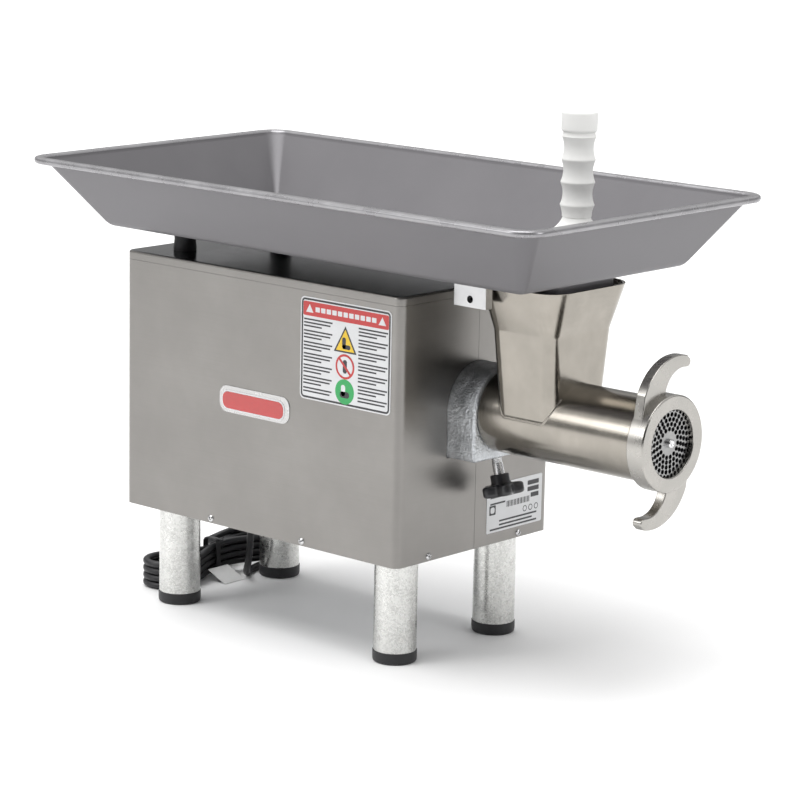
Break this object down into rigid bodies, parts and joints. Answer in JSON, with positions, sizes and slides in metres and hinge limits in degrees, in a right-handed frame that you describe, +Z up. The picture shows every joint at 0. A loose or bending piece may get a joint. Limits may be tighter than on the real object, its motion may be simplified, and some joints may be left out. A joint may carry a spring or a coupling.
{
  "type": "electric meat grinder",
  "caption": "Counter-top electric meat grinder: sheet-metal body on tube legs, deep tray, stainless head with hooked ring nut, pusher and geared motor.",
  "frame": {"origin": "bottom centre of the grinder's box, on the counter", "axes": "+X along the auger's axis and out of the head, +Y to the side with the switch, +Z up"},
  "size_m": [0.79, 0.416, 0.622],
  "materials": {
    "brushed_body": "brushed stainless sheet, grain along the length",
    "lid_steel": "brushed stainless sheet, semi-bright",
    "galvanised": "bright galvanised tube with spangle",
    "pan_steel": "zinc-plated steel",
    "foot_rubber": "moulded black rubber",
    "motor_paint": "dark blue-grey enamel on ribbed aluminium",
    "lamination": "stacked steel laminations",
    "copper": "varnished copper windings",
    "gearbox_iron": "cast iron, machined joints",
    "bearing_steel": "ground bearing steel",
    "gear_steel": "hardened steel, oiled",
    "shaft_steel": "ground steel",
    "hub_casting": "hammered grey casting with a granular skin",
    "polished_head": "polished stainless with fine hairline marks",
    "ring_satin": "satin turned stainless",
    "worm_steel": "cast stainless, polished flights",
    "plate_steel": "ground tool steel",
    "bronze": "turned bronze bush",
    "knob_plastic": "moulded black phenolic",
    "bright_stud": "bright plated screw thread",
    "tray_grey": "bead-blasted grey metal",
    "block_steel": "sawn and milled steel",
    "white_nylon": "turned white nylon",
    "post_rubber": "black moulded rubber",
    "screw_zinc": "bright zinc plating",
    "switch_steel": "brushed stainless plate",
    "switch_black": "black moulded plastic",
    "button_green": "green moulded button",
    "button_red": "red moulded button",
    "badge_red": "red enamel on a clear plate",
    "label_white": "white vinyl label",
    "cord_black": "black rubber jacket",
    "tag_white": "blank white tag"
  },
  "bodies": {
    "housing": {"base_pan": "pan_steel", "left_cover": "brushed_body", "right_cover": "brushed_body", "top_cover": "lid_steel", "rear_panel": "brushed_body", "cover_screws": "screw_zinc", "leg_tubes": "galvanised", "foot_caps": "foot_rubber", "leg_flanges": "pan_steel", "motor_cradle": "pan_steel", "motor_shell": "motor_paint", "motor_front_bell": "motor_paint", "motor_rear_bell": "motor_paint", "stator_core": "lamination", "windings": "copper", "fan_cover": "motor_paint", "capacitor": "switch_black", "gearbox_foot": "gearbox_iron", "gearbox_housing": "gearbox_iron", "gearbox_cover": "gearbox_iron", "bearing_plate": "gearbox_iron", "bearings": "bearing_steel", "oil_seals": "foot_rubber", "drive_hub": "hub_casting", "grinder_head": "polished_head", "auger_bushing": "bronze", "grinding_plate": "plate_steel", "tray_posts": "post_rubber", "switch_plate": "switch_steel", "switch_block": "switch_black", "badge": "badge_red", "side_label": "label_white", "front_label": "label_white", "cord_gland": "switch_black", "cord_lead": "cord_black", "cord_hank": "cord_black", "cord_tie": "cord_black", "cord_tag": "tag_white", "plug": "cord_black"},
    "rotor": {"motor_shaft": "shaft_steel", "rotor_core": "lamination", "cooling_fan": "switch_black"},
    "counter_train": {"countershaft": "gear_steel", "counter_gear": "gear_steel"},
    "auger_drive": {"output_shaft": "shaft_steel", "main_gear": "gear_steel", "auger_shank": "worm_steel", "auger": "worm_steel", "auger_pin": "plate_steel", "knife": "plate_steel"},
    "ring": {"ring_nut": "ring_satin"},
    "clamp_screw": {"clamp_stud": "bright_stud", "clamp_knob": "knob_plastic"},
    "tray_set": {"tray": "tray_grey", "tray_bracket": "block_steel", "tray_screw": "plate_steel"},
    "pusher": {"pusher": "white_nylon"},
    "start_button": {"start_button": "button_green"},
    "stop_button": {"stop_button": "button_red"}
  },
  "joints": [
    {"name": "rotor_spin", "type": "hinge", "parent": "housing", "child": "rotor", "pos_m": [-0.066, 0, 0.2705], "axis": [1, 0, 0], "continuous": true},
    {"name": "counter_spin", "type": "hinge", "parent": "housing", "child": "counter_train", "pos_m": [0.064, 0, 0.2105], "axis": [1, 0, 0], "continuous": true},
    {"name": "auger_spin", "type": "hinge", "parent": "housing", "child": "auger_drive", "pos_m": [0.224, 0, 0.2855], "axis": [1, 0, 0], "continuous": true},
    {"name": "ring_turn", "type": "hinge", "parent": "housing", "child": "ring", "pos_m": [0.384, 0, 0.2855], "axis": [1, 0, 0], "range_deg": [0, 900]},
    {"name": "clamp_turn", "type": "hinge", "parent": "housing", "child": "clamp_screw", "pos_m": [0.1537, 0, 0.2295], "axis": [0.2639, 0, -0.9646], "range_deg": [0, 1080]},
    {"name": "tray_lift", "type": "slide", "parent": "housing", "child": "tray_set", "axis": [0, 0, 1], "range_m": [0, 0.15]},
    {"name": "pusher_lift", "type": "slide", "parent": "tray_set", "child": "pusher", "axis": [0, 0, 1], "range_m": [0, 0.3]},
    {"name": "start_press", "type": "slide", "parent": "housing", "child": "start_button", "axis": [0, -1, 0], "range_m": [0, 0.003], "stiffness_N_per_m": 400},
    {"name": "stop_press", "type": "slide", "parent": "housing", "child": "stop_button", "axis": [0, -1, 0], "range_m": [0, 0.003], "stiffness_N_per_m": 400}
  ],
  "couplings": [
    {"joint": "counter_spin", "follows": "rotor_spin", "ratio": -0.33333},
    {"joint": "auger_spin", "follows": "rotor_spin", "ratio": 0.11111}
  ]
}
